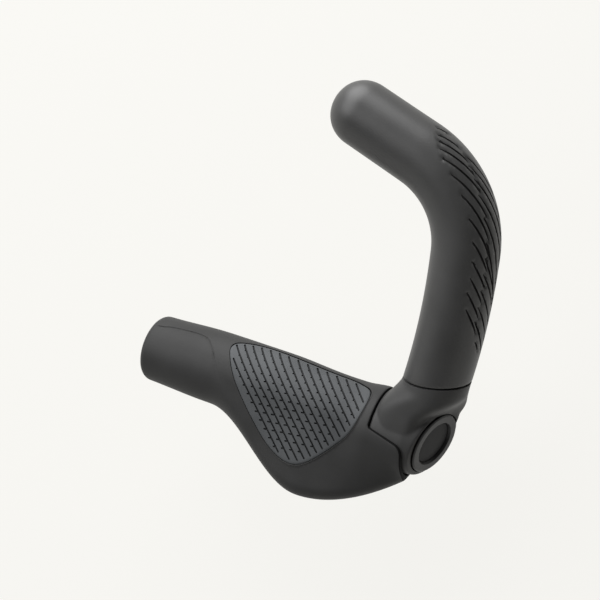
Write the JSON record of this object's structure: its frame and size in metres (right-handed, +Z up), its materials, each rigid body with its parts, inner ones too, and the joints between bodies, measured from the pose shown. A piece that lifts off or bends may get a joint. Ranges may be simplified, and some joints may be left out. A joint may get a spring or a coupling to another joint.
{
  "type": "bicycle grip with bar end",
  "caption": "Right-hand ergonomic bicycle grip: rubber sleeve with a broad palm wing and grooved pad, and a long curved rubber-covered bar end clamped at its outer end.",
  "frame": {"origin": "centre of the sleeve bore at the inboard end face of the grip", "axes": "+X along the handlebar to its outer end, +Y forward, +Z up; the handlebar leaves along -X"},
  "size_m": [0.1545, 0.1611, 0.109],
  "materials": {
    "sleeve_nylon": "black moulded nylon",
    "grip_rubber": "soft matt black rubber",
    "pad_rubber": "soft matt grey rubber with grooves",
    "core_nylon": "dark grey glass-filled nylon, satin",
    "arm_rubber": "soft matt black rubber",
    "band_aluminium": "plain forged aluminium",
    "bolt_steel": "dark zinc-plated steel",
    "washer_steel": "zinc-plated steel",
    "nut_steel": "zinc-plated steel",
    "plug_plastic": "black moulded plastic, satin",
    "disc_plastic": "black moulded plastic, matt"
  },
  "bodies": {
    "grip": {"inner_sleeve": "sleeve_nylon", "grip_rubber": "grip_rubber", "palm_pad": "pad_rubber"},
    "bar_end": {"bar_end_core": "core_nylon", "bar_end_cover": "arm_rubber", "clamp_band": "band_aluminium", "clamp_bolt": "bolt_steel", "bolt_washer": "washer_steel", "clamp_nut": "nut_steel", "end_plug": "plug_plastic", "plug_disc": "disc_plastic"}
  },
  "joints": [
    {"name": "bar_end_angle", "type": "hinge", "parent": "grip", "child": "bar_end", "pos_m": [0, 0, 0], "axis": [1, 0, 0], "range_deg": [-20, 6]}
  ]
}
